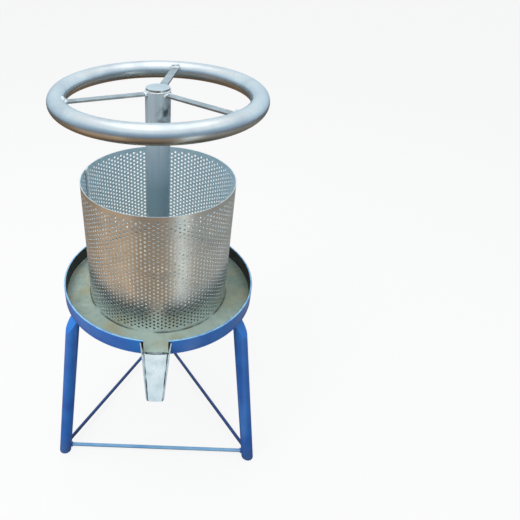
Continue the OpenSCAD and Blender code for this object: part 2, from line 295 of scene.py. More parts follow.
ring_card("sand_card", sand_card, (GROUND_INNER, CARD_LIFT), (GROUND_OUTER, CARD_LIFT))
for name, mat, *sweep in PATCHES:
    ring_card(name, mat, (GROUND_INNER, 2 * CARD_LIFT), (GROUND_OUTER, 2 * CARD_LIFT), *sweep)
ring_card("haze_card", haze_card, (GROUND_OUTER, 0), (GROUND_OUTER, HAZE_HEIGHT))
ring_card("sky_card", sky_card, (GROUND_INNER, SKY_HEIGHT), (SKY_RADIUS, SKY_HEIGHT))
print("cards: sand, pale path, sunlit sand, gravel, haze and sky")

# %% [markdown]
# ## Light
# The photograph has bright, even daylight with no hard shadow. A pale world lights the press from all
# round, and a large soft panel overhead stands for the open sky and lights the inside of the basket. A
# smaller lamp from the upper left gives the forms their shape. A narrow lamp shines straight down into the
# basket, as a high sun would, and makes the plate so bright that the holes look light. Mirror rays don't
# see the lamps, because the cards are there for that. Together they light white paint to about white, so
# each colour renders about as it is written.

# %% World and lamps
SOFT_LIGHT = "#EEF3F8"
SOFT_STRENGTH = 0.56
# Each soft lamp: its name, its place, its width and its watts.
SOFT_LAMPS = (("sky_panel", (-0.25, 0.15, 2.5), 2.2, 19), ("key_lamp", (-1.2, -1.1, 2.2), 1.2, 20))
BEAM_HEIGHT = 2.6
BEAM_COLOUR = "#FFF1DC"
BEAM_DEG = 6.6
BEAM_SOFT_EDGE = 0.2
BEAM_LAMP_MM = 30
BEAM_WATTS = 80

world = clear_graph(bpy.data.worlds.new("studio"))
white = add(world, "Background", {"Color": "#FFFFFF", "Strength": 1})
soft = add(world, "Background", {"Color": SOFT_LIGHT, "Strength": SOFT_STRENGTH})
choice = add(world, "MixShader", {0: seen_directly(world), 1: soft, 2: white})
add(world, "OutputWorld", {"Surface": choice})
bpy.context.scene.world = world


def hang_lamp(light, place, watts):
    """A lamp at a place, which mirrors don't show."""
    light.energy = watts
    lamp = bpy.data.objects.new(light.name, light)
    lamp.location = place
    lamp.visible_glossy = False
    bpy.context.scene.collection.objects.link(lamp)
    return lamp


for name, place, size, watts in SOFT_LAMPS:
    panel = bpy.data.lights.new(name, "AREA")
    panel.size = size
    aim = (cad_low + cad_high) / 2 - Vector(place)
    hang_lamp(panel, place, watts).rotation_euler = aim.to_track_quat("-Z", "Y").to_euler()

beam = bpy.data.lights.new("basket_beam", "SPOT")
beam.color = linear(BEAM_COLOUR)[:3]
beam.spot_size = math.radians(BEAM_DEG)
beam.spot_blend = BEAM_SOFT_EDGE
beam.shadow_soft_size = BEAM_LAMP_MM * MM
hang_lamp(beam, (0, 0, BEAM_HEIGHT), BEAM_WATTS)
print("lamps: panel, key and beam")

# %% [markdown]
# ## Where a tone lies
# Wear, dust and stains each lie somewhere: low down, near the notch, on the side of the pipe that hands
# reach. Painting them on an image would need a flattened map of every piece. Here a measure of the place
# does it, such as the height or the distance from the screw's axis, and one function lays a second tone
# over the first where that measure runs from a start to an end. A cloudy pattern can break the second tone
# into patches.

# %% Places and tones
def start_material(name, **constants):
    """A new material, its main shader with some constants set, and the place on the object in metres."""
    mat = bpy.data.materials.new(name)
    mat.use_nodes = True
    shader = mat.node_tree.nodes["Principled BSDF"]
    wire(mat, shader, {socket.replace("_", " "): value for socket, value in constants.items()})
    return mat, shader, add(mat, "TexCoord").outputs["Object"]


def lay_tone(mat, base, tone, measure, start, end, most=1, patches=None):
    """Lay a tone over a colour: none of it where the measure is at the start, the most of it at the end."""
    share = add(mat, "MapRange", {"Value": measure, "From Min": start, "From Max": end, "To Max": most})
    if patches:
        share = add(mat, "Math", {0: share, 1: patches}, operation="MULTIPLY")
    return add(mat, "Mix", {"Factor": share, "A": base, "B": tone}, data_type="RGBA")


print("tones can follow a height, a distance or a pattern")

# %% [markdown]
# ## Blue enamel on the frame
# The legs, the rods and the outside of the rim are mild steel with blue enamel, brushed on in one thick
# coat. It gives the eye a strong, slightly uneven blue, a soft gloss with a pale line along each pipe, and
# the fine ripple of paint that has flowed. Close under the tray the blue is painted lighter, a painted
# highlight on the tops of the legs. Dust from the ground dulls the lowest few centimetres of the legs. The
# side rods are painted a darker blue, painted shade under the tray, and the front rod is painted dark below
# its middle and pale above it, painted shade and a painted highlight. A dielectric shader with a low
# roughness and a faint bump gives all of that, in three sets of tones.

# %% Blue enamel
ENAMEL = ("#2066CC", "#308FF0")
# Darker tones for the rods, painted shade.
SHADED_ROD_ENAMEL = ("#153A72", "#20549A")
# Pale tones for the top of the front rod, a painted highlight.
HIGHLIGHT_ROD_ENAMEL = ("#62A9E4", "#A4D8FA")
# A lighter blue close under the tray, a painted highlight on the legs' tops.
LIT_TOP_ENAMEL = "#3496FA"
LIT_TOP_START_MM, LIT_TOP_END_MM = 340, 400
LIT_TOP_MOST = 0.8
DUST = "#6E6A66"
DUST_REACH_MM = 70
LEG_DUST, ROD_DUST = 0.75, 0.15
BRUSH_MM, RIPPLE_MM, GRIT_MM = 60, 7, 9
RIPPLE_DEPTH_MM = 0.6
ENAMEL_IOR = 1.5
CLEAN_ROUGHNESS, DUSTY_ROUGHNESS = 0.36, 0.75


def enamel_colour(mat, place, tones=ENAMEL):
    """The paint's colour, in soft clouds as wide as a brush."""
    cloud = add(mat, "TexNoise", {"Vector": place, "Scale": per_metre(BRUSH_MM), "Detail": 2})
    return add(mat, "ValToRGB", {"Fac": cloud}, ((0.2, tones[0]), (0.8, tones[1])))


def enamel_ripple(mat, place):
    """The faint ripple of paint that has flowed."""
    flow = add(mat, "TexNoise", {"Vector": place, "Scale": per_metre(RIPPLE_MM), "Detail": 2})
    return add(mat, "Bump", {"Height": flow, "Strength": 0.25, "Distance": RIPPLE_DEPTH_MM * MM})


def blue_enamel(name, tones, dust, highlight_tones=None, highlight_above=0):
    """Enamel in its tones, with paler ones above a height if there are any, as a painted highlight."""
    mat, shader, place = start_material(name, Metallic=0, IOR=ENAMEL_IOR)
    high = add(mat, "SeparateXYZ", {0: place}).outputs["Z"]
    paint = enamel_colour(mat, place, tones)
    if highlight_tones:
        # Paler tones above a height, a painted highlight on the top of a bar.
        paint = lay_tone(mat, paint, enamel_colour(mat, place, highlight_tones), high, highlight_above - MM, highlight_above + MM)
    # A lighter blue close under the tray, a painted highlight on the legs' tops.
    paint = lay_tone(mat, paint, LIT_TOP_ENAMEL, high, LIT_TOP_START_MM * MM, LIT_TOP_END_MM * MM, LIT_TOP_MOST)
    low = add(mat, "MapRange", {"Value": high, "From Min": 0, "From Max": DUST_REACH_MM * MM, "To Min": dust,
                                "To Max": 0})
    grit = add(mat, "TexNoise", {"Vector": place, "Scale": per_metre(GRIT_MM), "Detail": 5})
    dusty = add(mat, "Math", {0: low, 1: grit}, operation="MULTIPLY")
    colour = add(mat, "Mix", {"Factor": dusty, "A": paint, "B": DUST}, data_type="RGBA")
    dull = add(mat, "MapRange", {"Value": dusty, "To Min": CLEAN_ROUGHNESS, "To Max": DUSTY_ROUGHNESS})
    wire(mat, shader, {"Base Color": colour, "Roughness": dull, "Normal": enamel_ripple(mat, place)})
    return mat


rod_low, rod_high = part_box("stretcher_front")
rod_middle = (rod_low.z + rod_high.z) / 2
enamel = blue_enamel("blue_enamel_brushed_on_steel", ENAMEL, LEG_DUST)
# The side rods are painted darker, as painted shade.
shaded_rod_enamel = blue_enamel("blue_enamel_darkened_as_painted_shade", SHADED_ROD_ENAMEL, ROD_DUST)
# The front rod: painted shade below its middle, a painted highlight above it.
shade_and_highlight_enamel = blue_enamel("blue_enamel_shaded_below_highlit_above", SHADED_ROD_ENAMEL, ROD_DUST, HIGHLIGHT_ROD_ENAMEL, rod_middle)
print("made", [mat.name for mat in (enamel, shaded_rod_enamel, shade_and_highlight_enamel)])

# %% [markdown]
# ## The rim: enamel outside, mill scale inside
# The tray's rim was painted with the frame, but only on the outside, because juice runs along its inside.
# There the bar still has its dark mill scale. The two ends at the notch get the same dark tone, a painted
# shade. Along the upper edge the paint is painted pale in patches, a painted highlight where the top
# catches the light. One material can hold all of these: the distance from the screw's axis, the height and
# the distance from the notch say where a point lies.

# %% Rim finish
SCALE_DARK = "#1B1B18"
SCALE_WORN = "#3B3E3A"
# A pale tone along the upper edge, a painted highlight.
EDGE_HIGHLIGHT = "#9AD2F2"
EDGE_START_MM, EDGE_END_MM = 1.0, 0.3
RIM_BAR = 4 * MM
NOTCH_MM = 44
SPOUT_TURN = math.radians(-1.2)
# How far beyond the notch the cut ends get the scale's dark tone, as painted shade.
SHADED_CUT_MM = 4.5
PATCH_MM = 22
# Deeper than this share of a wall's thickness, a point is on the inner face.
INNER_SHARE = 0.8
PAINT_ROUGHNESS, SCALE_ROUGHNESS = 0.26, 0.62


def from_axis(mat, place):
    """How far a point lies from the screw's axis."""
    flat = add(mat, "VectorMath", {0: place, 1: (1, 1, 0)}, operation="MULTIPLY")
    return add(mat, "VectorMath", {0: flat}, operation="LENGTH")


def from_spout(mat, place):
    """How far a point lies to either side of the upright plane through the axis and the spout."""
    across = (math.cos(SPOUT_TURN), math.sin(SPOUT_TURN), 0)
    beside = add(mat, "VectorMath", {0: place, 1: across}, operation="DOT_PRODUCT")
    return add(mat, "Math", {0: beside}, operation="ABSOLUTE")


def rim_finish(outer_r, top_z):
    mat, shader, place = start_material("blue_enamel_over_mill_scale", IOR=ENAMEL_IOR)
    parts = add(mat, "SeparateXYZ", {0: place}).outputs
    edge_z = top_z - EDGE_START_MM * MM
    limits = ((from_axis(mat, place), outer_r - INNER_SHARE * RIM_BAR),
              (from_spout(mat, place), (NOTCH_MM / 2 + SHADED_CUT_MM) * MM), (parts["Y"], 0), (parts["Z"], edge_z))
    inside, at_cut, in_front, under_edge = (add(mat, "Math", {0: measure, 1: limit}, operation="LESS_THAN")
                                            for measure, limit in limits)
    cut_end = add(mat, "Math", {0: at_cut, 1: in_front}, operation="MULTIPLY")
    # The cut ends near the notch are painted dark, a painted shade.
    shaded_cut = add(mat, "Math", {0: cut_end, 1: under_edge}, operation="MULTIPLY")
    bare = add(mat, "Math", {0: inside, 1: shaded_cut}, operation="MAXIMUM")
    patch = add(mat, "TexNoise", {"Vector": place, "Scale": per_metre(PATCH_MM), "Detail": 5})
    scale = add(mat, "ValToRGB", {"Fac": patch}, ((0.4, SCALE_DARK), (0.75, SCALE_WORN)))
    # Patches that break up the painted highlight along the upper edge.
    highlight_patches = add(mat, "MapRange", {"Value": patch, "From Min": 0.2, "From Max": 0.55})
    paint = lay_tone(mat, enamel_colour(mat, place), EDGE_HIGHLIGHT, parts["Z"], edge_z, top_z - EDGE_END_MM * MM,
                     patches=highlight_patches)
    colour = add(mat, "Mix", {"Factor": bare, "A": paint, "B": scale}, data_type="RGBA")
    rough = add(mat, "MapRange", {"Value": bare, "To Min": PAINT_ROUGHNESS, "To Max": SCALE_ROUGHNESS})
    wire(mat, shader, {"Base Color": colour, "Roughness": rough, "Normal": enamel_ripple(mat, place)})
    return mat


rim_low, rim_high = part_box("tray_rim")
rim_r = (rim_high.x - rim_low.x) / 2
rim_paint = rim_finish(rim_r, rim_high.z)
print("made", rim_paint.name, "for a rim of", round(2 * rim_r / MM), "mm")

# %% [markdown]
# ## Bare steels
# The other pieces are bare, but not alike. They share one recipe, a pale metal with a cloudy tone and a
# roughness that follows the same clouds, and differ in colours, sizes and gloss, so one function makes them
# all. The press plate wears a film of dry pulp and is hardly metallic any more. The basket's lap is near
# white and hardly metallic, a painted highlight along the seam. Real grain is finer than the picture can
# show, so it is drawn coarser.

# %% Bare steel recipe
GRAIN_MM = 2.5
GRAIN_DEPTH_MM = 0.05
FIRST_STOP, STOPS_SPAN = 0.28, 0.44
# Each metal: its name, its tones from dark to light, its clouds' size, its roughness range, how metallic.
PLAIN_METALS = (
    ("steel_plate_filmed_with_dry_pulp", ("#8B8A84", "#C0BBAE", "#D2CCBE", "#DBD6CA"), 40, (0.45, 0.6), 0.25),
    ("zinc_plated_steel", ("#B5B4A8", "#CFCEC4", "#DAD9D2"), 9, (0.24, 0.38)),
    ("turned_bronze", ("#8C6A34", "#B48C4C", "#C9A262"), 14, (0.22, 0.36)),
    ("weld_bead_brushed_clean", ("#AEB8BE", "#D6DEE2", "#EEF3F5"), 5, (0.3, 0.45), 0.5),
    # The lap's near-white tones are a painted highlight.
    ("stainless_lap_ground_after_welding", ("#E4EEF2", "#F4F9FB", "#FFFFFF"), 6, (0.45, 0.6), 0.1),
    ("hot_rolled_flat_bar_wire_brushed", ("#97A2A8", "#B0BAC0", "#C6CFD4"), 20, (0.28, 0.4)),
    ("weld_bead_left_burnt", ("#1F2627", "#93A3A4", "#E6F0F0"), 9, (0.35, 0.6)),
)


def bare_steel(name, tones, cloud_mm, gloss, metal=1, stretch=(1, 1, 1)):
    """A bare metal: its tones from dark to light, the size of its clouds, and its roughness range."""
    mat, shader, place = start_material(name, Metallic=metal)
    drawn = add(mat, "VectorMath", {0: place, 1: stretch}, operation="MULTIPLY")
    cloud = add(mat, "TexNoise", {"Vector": drawn, "Scale": per_metre(cloud_mm), "Detail": 6,
                                  "Roughness": 0.62})
    stops = [(FIRST_STOP + STOPS_SPAN * k / (len(tones) - 1), tone) for k, tone in enumerate(tones)]
    tone = add(mat, "ValToRGB", {"Fac": cloud}, stops)
    shine = add(mat, "MapRange", {"Value": cloud, "From Min": 0.3, "From Max": 0.7, "To Min": gloss[1],
                                  "To Max": gloss[0]})
    grain = add(mat, "TexNoise", {"Vector": drawn, "Scale": per_metre(GRAIN_MM), "Detail": 3})
    bump = add(mat, "Bump", {"Height": grain, "Strength": 0.35, "Distance": GRAIN_DEPTH_MM * MM})
    wire(mat, shader, {"Base Color": tone, "Roughness": shine, "Normal": bump})
    return mat, shader, place, tone


plain_metals = [bare_steel(*recipe)[0] for recipe in PLAIN_METALS]
plate_steel, zinc, bronze, clean_weld, lap_highlight_steel, flat_bar, burnt_weld = plain_metals
print("bare metals:", [metal.name for metal in plain_metals])

# %% [markdown]
# ## The wheel's pipe
# The wheel is galvanised pipe, bright and a little blotched above. Just under the ring's middle the tone
# changes to a darker grey, a painted shade on the pipe's underside.

# %% Wheel finish
WHEEL_TONES = ("#BFCAD3", "#D3DCE2", "#E0E8EC")
# A darker grey under the ring's middle, painted shade.
UNDERSIDE_SHADE = "#8F8C88"
UNDERSIDE_START_MM, UNDERSIDE_END_MM = 1, 7


def wheel_finish(middle_z):
    mat, shader, place, tone = bare_steel("galvanised_pipe_bent_to_a_ring", WHEEL_TONES, 55, (0.24, 0.33))
    high = add(mat, "SeparateXYZ", {0: place}).outputs["Z"]
    # A darker grey under the ring's middle, painted shade.
    colour = lay_tone(mat, tone, UNDERSIDE_SHADE, high, middle_z - UNDERSIDE_START_MM * MM, middle_z - UNDERSIDE_END_MM * MM)
    wire(mat, shader, {"Base Color": colour})
    return mat


ring_low, ring_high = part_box("wheel_ring")
wheel_steel = wheel_finish((ring_low.z + ring_high.z) / 2)
print("made", wheel_steel.name)

# %% [markdown]
# ## The chute's sheet
# The chute is galvanised sheet with a fold along each side, and its floor is bright. Dark lines are painted
# along the folds, a painted shade where the cheeks rise from the floor. How far a point lies from the
# spout's middle, compared with where the fold runs at that distance from the tray, says how dark it is, and
# noise breaks the lines up.

# %% Chute finish
CHUTE_TONES = ("#DAE5E7", "#EDF3F4", "#F7FAFA")
FOLD_TOP_MM, FOLD_LIP_MM = 21, 12.75
CHUTE_RUN_MM = 57
# Dark lines along the folds, painted shade.
FOLD_SHADE = "#3E4A47"
FOLD_SHADE_PLACE_MM = 0.4
FOLD_SHADE_START_MM, FOLD_SHADE_END_MM = 2.0, 0.8
BREAK_MM = 13


def chute_finish():
    mat, shader, place, tone = bare_steel("galvanised_sheet_folded", CHUTE_TONES, 16, (0.22, 0.36))
    outward = (math.sin(SPOUT_TURN), -math.cos(SPOUT_TURN), 0)
    along = add(mat, "VectorMath", {0: place, 1: outward}, operation="DOT_PRODUCT")
    fold = add(mat, "MapRange", {"Value": along, "From Min": rim_r, "From Max": rim_r + CHUTE_RUN_MM * MM,
                                 "To Min": FOLD_TOP_MM * MM, "To Max": FOLD_LIP_MM * MM})
    past = add(mat, "Math", {0: from_spout(mat, place), 1: fold}, operation="SUBTRACT")
    off_line = add(mat, "Math", {0: past, 1: FOLD_SHADE_PLACE_MM * MM}, operation="SUBTRACT")
    apart = add(mat, "Math", {0: off_line}, operation="ABSOLUTE")
    blot = add(mat, "TexNoise", {"Vector": place, "Scale": per_metre(BREAK_MM), "Detail": 4})
    broken = add(mat, "MapRange", {"Value": blot, "From Min": 0.3, "From Max": 0.6})
    # Painted shade along the folds.
    colour = lay_tone(mat, tone, FOLD_SHADE, apart, FOLD_SHADE_START_MM * MM, FOLD_SHADE_END_MM * MM, patches=broken)
    wire(mat, shader, {"Base Color": colour})
    return mat


chute_steel = chute_finish()
print("made", chute_steel.name)

# %% [markdown]
# ## The basket's sheet
# The basket is stainless sheet, bright outside, where it mirrors the ground. Inside, pulp and acid have
# scoured it and left a thin pale film, which scatters the daylight that falls in from above, so it looks
# light and bluish. The distance from the screw's axis tells the two faces apart, and changes tone,
# roughness and how metallic it is.

# %% Sheet finish
SHEET_MM = 1.5
SHEET_TONES = ("#D4D9DB", "#E1E5E6", "#EAEDEE")
SCOURED = "#C6DFEA"
SCOURED_ROUGHNESS = 0.55
SCOURED_METAL = 0.5


def sheet_finish(outer_r):
    mat, shader, place, tone = bare_steel("stainless_sheet_punched_and_rolled", SHEET_TONES, 34, (0.3, 0.4))
    inner_face = outer_r - INNER_SHARE * SHEET_MM * MM
    inside = add(mat, "Math", {0: from_axis(mat, place), 1: inner_face}, operation="LESS_THAN")
    colour = add(mat, "Mix", {"Factor": inside, "A": tone, "B": SCOURED}, data_type="RGBA")
    polish = shader.inputs["Roughness"].links[0].from_socket
    rough = add(mat, "Mix", {"Factor": inside, "A": polish, "B": SCOURED_ROUGHNESS}, data_type="FLOAT")
    metal = add(mat, "MapRange", {"Value": inside, "To Min": 1, "To Max": SCOURED_METAL})
    wire(mat, shader, {"Base Color": colour, "Roughness": rough, "Metallic": metal})
    return mat


basket_low, basket_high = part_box("basket")
basket_r = (basket_high.x - basket_low.x) / 2
basket_h = basket_high.z - basket_low.z
sheet_steel = sheet_finish(basket_r)
print("made", sheet_steel.name, "for a basket of", round(2 * basket_r / MM), "mm")

# %% [markdown]
# ## The pipe under the wheel
# This pipe is bare too, with a thin dull skin that is darker lower down, towards the basket. Its lowest part
# stands in the pulp and wears the same pale film as the plate. It was drawn through a die, which leaves
# long faint streaks, and one dark patch lies just below the wheel, on the right as seen from the spout.
# The streaks come from noise that is stretched along the pipe. The patch is a small round place on it, and
# a second noise frays its border and the film's.

# %% Sleeve finish
SLEEVE_TONES = ("#BACFDC", "#CEE2EE", "#DAEBF4")
# A darker patch just below the wheel.
DARK_PATCH = "#5F6E76"
DARK_PATCH_TURN_DEG = -52
DARK_PATCH_DEPTH_MM = 36
DARK_PATCH_START_MM, DARK_PATCH_END_MM = 22, 8.8
BLOT_MM = 14
# Darker lower down the pipe.
DARKER_LOW = "#91AAB5"
DARKER_START_MM, DARKER_END_MM = 80, 170
PULP_FILM = "#D6D0C2"
FILM_START_MM, FILM_END_MM = 230, 254
FILM_FRAY_MM = 35
SLEEVE_METAL = 0.45
ALONG_THE_PIPE = (1, 1, 0.05)


def sleeve_finish(radius, top_z):
    mat, shader, place, tone = bare_steel("drawn_steel_pipe_with_dark_patch", SLEEVE_TONES, 7, (0.42, 0.54),
                                          SLEEVE_METAL, ALONG_THE_PIPE)
    turn = math.radians(DARK_PATCH_TURN_DEG)
    middle = (radius * math.cos(turn), radius * math.sin(turn), top_z - DARK_PATCH_DEPTH_MM * MM)
    away = add(mat, "VectorMath", {0: place, 1: middle}, operation="DISTANCE")
    blot = add(mat, "TexNoise", {"Vector": place, "Scale": per_metre(BLOT_MM), "Detail": 4})
    edge = add(mat, "MapRange", {"Value": blot, "From Min": 0.4, "From Max": 0.62})
    colour = lay_tone(mat, tone, DARK_PATCH, away, DARK_PATCH_START_MM * MM, DARK_PATCH_END_MM * MM, patches=edge)
    high = add(mat, "SeparateXYZ", {0: place}).outputs["Z"]
    colour = lay_tone(mat, colour, DARKER_LOW, high, top_z - DARKER_START_MM * MM, top_z - DARKER_END_MM * MM)
    fray = add(mat, "MapRange", {"Value": blot, "To Min": -FILM_FRAY_MM * MM, "To Max": FILM_FRAY_MM * MM})
    ragged = add(mat, "Math", {0: high, 1: fray}, operation="ADD")
    colour = lay_tone(mat, colour, PULP_FILM, ragged, top_z - FILM_START_MM * MM, top_z - FILM_END_MM * MM)
    wire(mat, shader, {"Base Color": colour})
    return mat


sleeve_low, sleeve_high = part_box("sleeve")
sleeve_steel = sleeve_finish((sleeve_high.x - sleeve_low.x) / 2, sleeve_high.z)
print("made", sleeve_steel.name)

# %% [markdown]
# ## The tray
# The tray floor is hot-rolled plate that juice has etched to a dull grey-green. It is painted lighter near
# the notch, painted light on the tray's open front, and darker on the right, painted shade from the basket.
# Old juice has left yellowish stains in broad patches. The dark line round the basket's foot is a painted
# contact shadow. Its edge and underside were painted with the frame. Stains are slow shapes, so they use
# large noise. Heights and distances say where each of the others lies.

# %% Tray finish
TRAY_TONES = ("#8DA196", "#A2B4A9", "#B2C1B7")
TRAY_METAL = 0.35
# Lighter towards the notch, painted light on the open front.
FRONT_LIGHT = "#C6D9CC"
FRONT_LIGHT_START_MM, FRONT_LIGHT_END_MM = 190, 38
FRONT_LIGHT_MOST = 0.8
# Darker on the right, painted shade from the basket.
RIGHT_SHADE = "#52685A"
RIGHT_SHADE_PLACE_MM = (165, 10)
RIGHT_SHADE_START_MM, RIGHT_SHADE_END_MM = 120, 36
RIGHT_SHADE_MOST = 0.5
STAIN = "#B2A67A"
STAIN_START, STAIN_END, STAIN_MOST = 0.48, 0.68, 0.7
POOL_MM = 60
# A dark line round the basket's foot, a painted contact shadow.
FOOT_SHADOW = "#353D38"
FOOT_SHADOW_MM = 2.2
FOOT_START, FOOT_END, FOOT_MOST = 0.42, 0.5, 0.8
PAINTED_SKIN_MM = 0.4


def tray_finish(outer_r, bottom_z):
    mat, shader, place, tone = bare_steel("rolled_plate_etched_by_juice", TRAY_TONES, 12, (0.4, 0.55))
    shade_middle = (RIGHT_SHADE_PLACE_MM[0] * MM, RIGHT_SHADE_PLACE_MM[1] * MM, bottom_z)
    off_notch, off_shade = (add(mat, "VectorMath", {0: place, 1: middle}, operation="DISTANCE")
                           for middle in ((0, -outer_r, bottom_z), shade_middle))
    radius = from_axis(mat, place)
    at_foot = add(mat, "Math", {0: radius, 1: basket_r, 2: FOOT_SHADOW_MM * MM}, operation="COMPARE")
    pool = add(mat, "TexNoise", {"Vector": place, "Scale": per_metre(POOL_MM), "Detail": 5})
    # Painted light near the notch.
    colour = lay_tone(mat, tone, FRONT_LIGHT, off_notch, FRONT_LIGHT_START_MM * MM, FRONT_LIGHT_END_MM * MM, FRONT_LIGHT_MOST)
    # Painted shade on the right.
    colour = lay_tone(mat, colour, RIGHT_SHADE, off_shade, RIGHT_SHADE_START_MM * MM, RIGHT_SHADE_END_MM * MM, RIGHT_SHADE_MOST)
    colour = lay_tone(mat, colour, STAIN, pool, STAIN_START, STAIN_END, STAIN_MOST)
    # The painted contact shadow round the basket's foot.
    colour = lay_tone(mat, colour, FOOT_SHADOW, pool, FOOT_START, FOOT_END, FOOT_MOST, at_foot)
    at_edge = add(mat, "Math", {0: radius, 1: outer_r - PAINTED_SKIN_MM * MM}, operation="GREATER_THAN")
    high = add(mat, "SeparateXYZ", {0: place}).outputs["Z"]
    below = add(mat, "Math", {0: high, 1: bottom_z + PAINTED_SKIN_MM * MM}, operation="LESS_THAN")
    painted = add(mat, "Math", {0: at_edge, 1: below}, operation="MAXIMUM")
    paint = enamel_colour(mat, place)
    colour = add(mat, "Mix", {"Factor": painted, "A": colour, "B": paint}, data_type="RGBA")
    metal = add(mat, "MapRange", {"Value": painted, "To Min": TRAY_METAL, "To Max": 0})
    wire(mat, shader, {"Base Color": colour, "Metallic": metal})
    return mat


plate_low, plate_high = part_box("tray_floor")
tray_steel = tray_finish(rim_r, plate_low.z)
print("made", tray_steel.name)

# %% [markdown]
# ## Rubber and oiled steel
# The washer under the lower nut is black rubber with a dull, dusty skin. The screw is turned steel that is
# kept oiled, and old grease darkens the bottom of its thread. How far a point lies from the axis tells
# crest from root.

# %% Rubber and screw finish
RUBBER_TONES = ((0.3, "#1F1F20"), (0.8, "#3B3B3A"))
RUBBER_GRAIN_MM = 3
RUBBER_IOR = 1.52
SCREW_TONES = ("#7D8286", "#A4A9AC", "#B9BDBF")
GREASE = "#3A352C"
GREASE_MOST = 0.85
SCREW_ROOT_SHARE = 0.77


def rubber():
    mat, shader, place = start_material("black_rubber_moulded", Metallic=0, IOR=RUBBER_IOR)
    skin = add(mat, "TexNoise", {"Vector": place, "Scale": per_metre(RUBBER_GRAIN_MM), "Detail": 4})
    tone = add(mat, "ValToRGB", {"Fac": skin}, RUBBER_TONES)
    dull = add(mat, "MapRange", {"Value": skin, "To Min": 0.55, "To Max": 0.85})
    bump = add(mat, "Bump", {"Height": skin, "Strength": 0.3, "Distance": 0.1 * MM})
    wire(mat, shader, {"Base Color": tone, "Roughness": dull, "Normal": bump})
    return mat


def oiled_screw(crest_r):
    mat, shader, place, tone = bare_steel("turned_steel_kept_oiled", SCREW_TONES, 6, (0.18, 0.3))
    thread_root = SCREW_ROOT_SHARE * crest_r
    colour = lay_tone(mat, tone, GREASE, from_axis(mat, place), crest_r, thread_root, GREASE_MOST)
    wire(mat, shader, {"Base Color": colour})
    return mat


seal_rubber = rubber()
screw_low, screw_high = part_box("screw")
screw_r = (screw_high.x - screw_low.x) / 2
screw_steel = oiled_screw(screw_r)
print("made", seal_rubber.name, "and", screw_steel.name)

# %% [markdown]
# ## Dressing the solids
# Most solids already have the right shape, and only need their finish. It goes on the object's own material
# slot, so the mesh stays as it was packed.

# %% Dress the solids
FINISHES = (
    (enamel, "leg_left leg_right leg_back screw_hub arm_left arm_right arm_back"),
    (shade_and_highlight_enamel, "stretcher_front"), (shaded_rod_enamel, "stretcher_right stretcher_left"),
    (tray_steel, "tray_floor"), (rim_paint, "tray_rim"), (chute_steel, "spout_chute"),
    (screw_steel, "screw"), (seal_rubber, "floor_seal"),
    (zinc, "floor_nut lock_nut hub_washer hub_nut keeper_bolts"),
    # The lap strip's pale finish is a painted highlight.
    (sheet_steel, "basket"), (lap_highlight_steel, "basket_seam"),
    (plate_steel, "press_plate plate_rib_1 plate_rib_2 plate_rib_3 plate_collar keeper_ring thrust_flange"),
    (bronze, "thrust_washer sleeve_nut"), (sleeve_steel, "sleeve"), (wheel_steel, "sleeve_cap wheel_ring"),
    (flat_bar, "spoke_1 spoke_2 spoke_3"),
)
dressed = [(finish, name) for finish, names in FINISHES for name in names.split()]
for finish, name in dressed:
    skin = nodes[name].material_slots[0]
    skin.link = "OBJECT"
    skin.material = finish
print("dressed", len(dressed), "of", len(nodes), "solids")

# %% [markdown]
# ## Making a piece
# Every piece below is a mesh written straight in the model's own frame, so it needs no placing. One
# function makes the object, shades it smooth but keeps edges that turn sharply, and lets it ride on its
# body.

# %% Make a piece
SHARP_DEG = 32


def make_piece(name, points, faces, mat, body, slot):
    """A finished mesh that moves with a body."""
    mesh = bpy.data.meshes.new(name)
    mesh.from_pydata([tuple(p) for p in points], [], faces)
    mesh.materials.append(mat)
    mesh.polygons.foreach_set("use_smooth", [True] * len(mesh.polygons))
    mesh.set_sharp_from_angle(angle=math.radians(SHARP_DEG))
    mesh.validate()
    obj = bpy.data.objects.new(name, mesh)
    bpy.context.scene.collection.objects.link(obj)
    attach(obj, body)
    return obj


def on_circle(radius, turn, z):
    """A point at a turn, in radians, about the screw's axis."""
    return Vector((radius * math.cos(turn), radius * math.sin(turn), z))


# %% [markdown]
# ## The perforated basket
# The basket is rolled from sheet with round holes of 4 mm in staggered rows, more than three thousand of
# them. They could be cut with boolean modifiers, which is slow and leaves poor faces, or drawn as a
# see-through texture, which has no thickness. Here the sheet is woven from small cells instead. Each cell
# is a patch of sheet with one hole in the middle and eight points on its border, and neighbours share those
# points, so the whole wall is one clean mesh. The inner skin is the same lattice a sheet's thickness
# further in, and the two skins are joined round every hole and along both edges.

# %% Basket lattice
HOLE_MM = 4.2
OCTAGON_SHARE = 1.054
HOLE_COLUMNS = 122
LEAST_EDGE_MM = 6
BORDER = ((2, 1), (2, 2), (1, 2), (0, 2), (0, 1), (0, 0), (1, 0), (2, 0))

column_step = 2 * math.pi / HOLE_COLUMNS
row_pitch = basket_r * column_step * 2 / math.sqrt(3)
hole_rows = int((basket_h - 2 * LEAST_EDGE_MM * MM - row_pitch / 2) / row_pitch)
lattice_foot = basket_low.z + (basket_h - (hole_rows + 0.5) * row_pitch) / 2
LAST_LINE = 2 * hole_rows + 1
print("holes:", HOLE_COLUMNS * hole_rows, "pitch:", round(row_pitch / MM, 2), "mm")


# %% Basket cells
def full_turn(count):
    """Evenly spaced angles all the way round."""
    return [2 * math.pi * k / count for k in range(count)]


def line_z(line):
    """The height of a lattice line, half a pitch apart, with the sheet's edges below and above them all."""
    if line < 0:
        return basket_low.z
    if line > LAST_LINE:
        return basket_high.z
    return lattice_foot + line * row_pitch / 2


